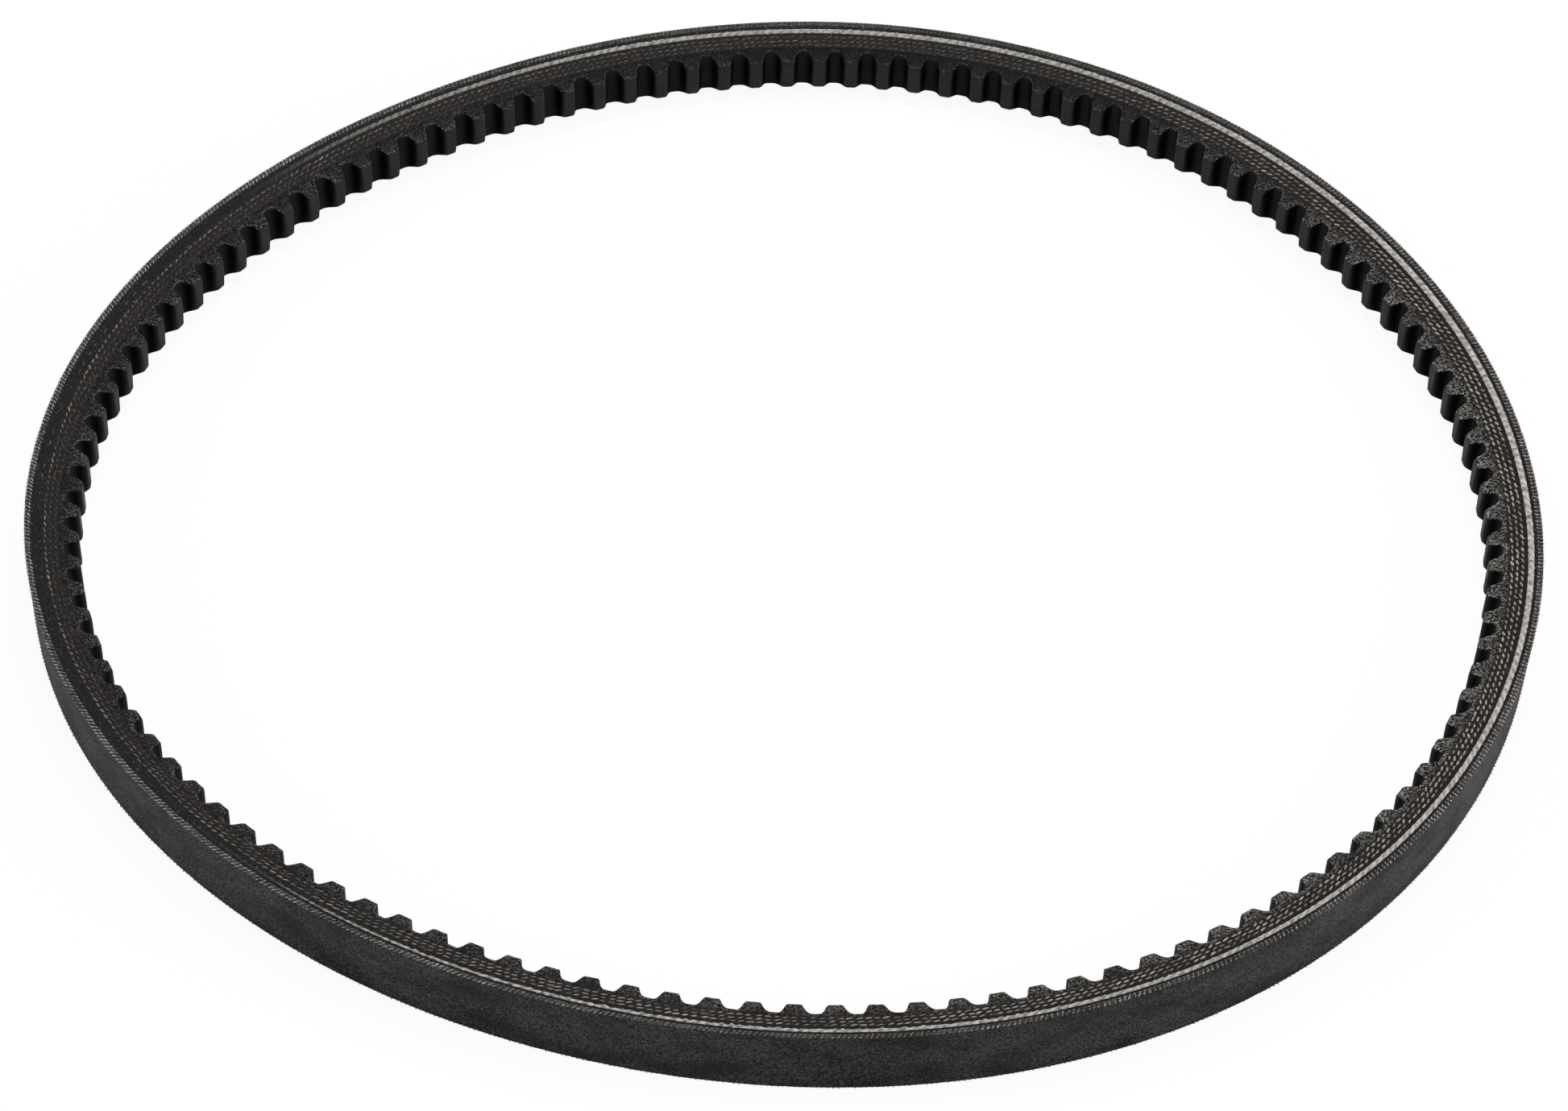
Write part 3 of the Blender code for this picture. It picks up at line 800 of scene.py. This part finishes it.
class VBELT_OT_cogged_base(bpy.types.Operator):
    """The compression rubber with its moulded cogs"""

    bl_idname = "vbelt.cogged_base"
    bl_label = "Cogged base"

    def execute(self, context):
        sizes, colours = context.scene.vbelt_sizes, context.scene.vbelt_colours
        outer = layer_depth(BASE)
        # Stations crowd towards the cogs' sides, where the outline bends most
        per_cog, crowding = 38, 0.6
        stations = per_cog * sizes.cog_count
        even = np.arange(stations) / stations
        waves = 4.0 * math.pi * sizes.cog_count
        shares = even + crowding * np.sin(waves * even) / waves
        floor = outer + sizes.web
        crisp = cog_depths(shares, sizes, floor, sizes.tip_round)[:, None]
        soft = cog_depths(shares, sizes, floor, sizes.low_round)[:, None]
        raised = np.clip((crisp - floor) / sizes.cog_height, 0.0, 1.0)
        # Painted shade: tips are lightest, groove floors about half as light and the sides between darkest
        wear_and_painted_shade = (0.55 + 0.45 * raised) * (1.0 - 3.0 * raised * (1.0 - raised))
        uneven = 0.02 * MM * ripple(shares, 61, waves=30, low=20, high=300)[:, None]
        rounding = sizes.rim_round * (0.8 + 0.2 * raised)
        # Rows down the upper flank and round its rim, across the moulded face, and back up the lower flank
        upper_depths, upper = self.edge_rows(outer, crisp + uneven, rounding)
        lower_depths, lower = self.edge_rows(outer, soft + uneven, rounding)
        across = np.linspace(0.8, -0.8, 5)
        heights = np.concatenate([upper, across * upper[:, -1:], -lower[:, ::-1]], axis=1)
        # Across the face the crisp outline turns into the soft one of the lower rim
        softened = np.array([0.0, 0.0, 0.05, 0.25, 0.65])
        face = crisp + uneven + (soft - crisp) * softened
        depths = np.concatenate([upper_depths, face, lower_depths[:, ::-1]], axis=1)
        points = belt_points(shares, depths, heights)
        rubber = cog_finish(colours)
        piece = add_mesh("cogged_base_rubber", points, sweep_faces(points, True), rubber, sharp=50.0)
        # Faces of a flank and its rim are sliced, the rest is moulded
        sliced = np.array([1.0, 1.0, 1.0, 1.0, 0.5, 0.0])
        sliced = np.concatenate([sliced, np.zeros(6), sliced[::-1], np.zeros(1)])
        add_value(piece, "sliced", np.tile(sliced, stations), "FACE")
        # Fibre ends show more and more down a flank, and most on its rim, where the extra light flecks are
        # partly a painted highlight
        clean = freshness(shares, front=0.42, behind=0.06, left=0.24, seed=71, fall=4.0)[:, None]
        rim_fibres_and_highlight = np.array([0.0, 0.0, 0.0, 0.25, 0.45, 0.35, 0.0])
        bare = np.array([0.35, 0.75, 0.90, 0.90, 0.90, 0.90, 0.90])
        fresh = clean * np.concatenate([bare, np.zeros(5), bare[::-1]])
        fresh = fresh + (0.35 + 0.65 * clean) * np.concatenate([rim_fibres_and_highlight, np.zeros(5), rim_fibres_and_highlight[::-1]])
        add_value(piece, "fresh", np.minimum(fresh, 1.0), "POINT")
        # The painted shade of the cogs' sides and groove floors goes to the finish
        add_value(piece, "wear_and_painted_shade", np.broadcast_to(wear_and_painted_shade, depths.shape), "POINT")
        settle(piece, "cog_rubber", BASE)
        return {"FINISHED"}

    def edge_rows(self, outer, inner, rounding):
        """Depths and half widths of seven rows: three down a flank, four on a quarter turn to the face."""
        turn = np.radians([0.0, 30.0, 60.0, 90.0])
        flank = outer + (inner - rounding - outer) * np.array([0.0, 0.45, 0.85])
        depths = np.concatenate([flank, inner - rounding * (1.0 - np.sin(turn))], axis=1)
        inset = rounding * np.concatenate([np.zeros(3), 1.0 - np.cos(turn)])
        return depths, half_width(depths) - inset


WHITE = opaque(linear("#ffffff"))


class VBELT_OT_studio(bpy.types.Operator):
    """A white floor, soft lights and the camera at the photograph's angle"""

    bl_idname = "vbelt.studio"
    bl_label = "Studio"

    def execute(self, context):
        scene = context.scene
        scene.view_settings.view_transform = "Standard"
        self.add_floor()
        self.add_lights(scene)
        self.add_camera(scene)
        return {"FINISHED"}

    def add_floor(self):
        """A level sheet under the belt, white to the camera and still darkened by the belt's shadow."""
        half = 3.0
        # Yarn ends stand a little out of the lower flank, so the sheet lies that much under the box
        level = CAD_BOX[0][2] - 0.12 * MM
        plan = [(-half, -half), (half, -half), (half, half), (-half, half)]
        corners = np.array([(x, y, level) for x, y in plan])
        material = bpy.data.materials.new("Matt white studio floor")
        material.use_nodes = True
        tree = material.node_tree
        shader = tree.nodes["Principled BSDF"]
        shader.inputs["Base Color"].default_value = opaque(linear("#cbcbcb"))
        shader.inputs["Roughness"].default_value = 0.9
        rays = [new_node(tree, "LightPath", kind) for kind in ("Is Camera Ray", "Is Transmission Ray")]
        seen = new_node(tree, "Math", "Value", rays, operation="MAXIMUM")
        # The rest of what the camera sees is the sheet's own shade, which holds the shadow
        glow_part = 0.93
        part = new_node(tree, "Math", "Value", (seen, glow_part), operation="MULTIPLY")
        glow = new_node(tree, "Emission", "Emission", {"Color": WHITE, "Strength": 1.0})
        both = new_node(tree, "MixShader", "Shader", (part, shader.outputs["BSDF"], glow))
        tree.links.new(both, tree.nodes["Material Output"].inputs["Surface"])
        add_mesh("studio_floor", corners, [(0, 1, 2, 3)], material)

    def add_lights(self, scene):
        """Soft white surroundings, one large lamp above and weaker ones from the front left and right."""
        world = bpy.data.worlds.new("Soft white surroundings")
        scene.world = world
        world.use_nodes = True
        shader = world.node_tree.nodes["Background"]
        shader.inputs["Color"].default_value = WHITE
        shader.inputs["Strength"].default_value = 0.28
        lamps = (
            ("overhead_softbox", (0.10, 0.15, 0.90), 0.7, 10.5),
            ("front_left_softbox", (-1.00, -0.24, 0.42), 0.6, 8.2),
            ("front_right_softbox", (1.00, -0.24, 0.42), 0.5, 9.0),
        )
        for name, place, side, power in lamps:
            lamp = bpy.data.lights.new(name, "AREA")
            lamp.size = side
            lamp.energy = power
            made = bpy.data.objects.new(name, lamp)
            made.location = place
            made.rotation_euler = (-Vector(place)).to_track_quat("-Z", "Y").to_euler()
            scene.collection.objects.link(made)

    def add_camera(self, scene):
        """The view fitted to the photograph: a long lens from in front and above, rolled a little."""
        elevation = math.radians(45.18)
        roll = math.radians(2.20)
        distance = 0.6624
        middle = Vector((AMPLITUDES[0].real, AMPLITUDES[0].imag, MIDDLE_Z))
        forward = Vector((0.0, math.cos(elevation), -math.sin(elevation)))
        data = bpy.data.cameras.new("photo_camera")
        data.sensor_fit = "HORIZONTAL"
        data.lens = FOCAL_PIXELS / PHOTO_WIDTH * data.sensor_width
        data.shift_x = (0.5 * PHOTO_WIDTH - LOOP_MIDDLE_PIXEL[0]) / PHOTO_WIDTH
        data.shift_y = (LOOP_MIDDLE_PIXEL[1] - 0.5 * PHOTO_HEIGHT) / PHOTO_WIDTH
        data.clip_start = 0.01
        camera = bpy.data.objects.new("photo_camera", data)
        turn = forward.to_track_quat("-Z", "Y").to_matrix() @ Matrix.Rotation(roll, 3, "Z")
        camera.matrix_world = Matrix.Translation(middle - distance * forward) @ turn.to_4x4()
        scene.collection.objects.link(camera)
        scene.camera = camera


OPERATORS = (
    VBELT_OT_studio,
    VBELT_OT_back_fabric,
    VBELT_OT_cushions,
    VBELT_OT_tensile_cord,
    VBELT_OT_reinforcing_plies,
    VBELT_OT_cogged_base,
)


class VBELT_PT_panel(bpy.types.Panel):
    """Sizes, colours and the steps that build the belt"""

    bl_idname = "VBELT_PT_panel"
    bl_label = "V belt"
    bl_space_type = "VIEW_3D"
    bl_region_type = "UI"
    bl_category = "V belt"

    def draw(self, context):
        for group in (context.scene.vbelt_sizes, context.scene.vbelt_colours):
            for key in group.__annotations__:
                self.layout.prop(group, key)
        for operator in OPERATORS:
            self.layout.operator(operator.bl_idname)


CLASSES = (VBELT_PG_sizes, VBELT_PG_colours, *OPERATORS, VBELT_PT_panel)


def register():
    for kind in CLASSES:
        bpy.utils.register_class(kind)
    bpy.types.Scene.vbelt_sizes = bpy.props.PointerProperty(type=VBELT_PG_sizes)
    bpy.types.Scene.vbelt_colours = bpy.props.PointerProperty(type=VBELT_PG_colours)


def unregister():
    del bpy.types.Scene.vbelt_colours
    del bpy.types.Scene.vbelt_sizes
    for kind in reversed(CLASSES):
        bpy.utils.unregister_class(kind)


def main():
    """Build the belt and its studio."""
    register()
    bpy.ops.vbelt.studio()
    bpy.ops.vbelt.back_fabric()
    bpy.ops.vbelt.cushions()
    bpy.ops.vbelt.tensile_cord()
    bpy.ops.vbelt.reinforcing_plies()
    bpy.ops.vbelt.cogged_base()


if __name__ == "__main__":
    main()
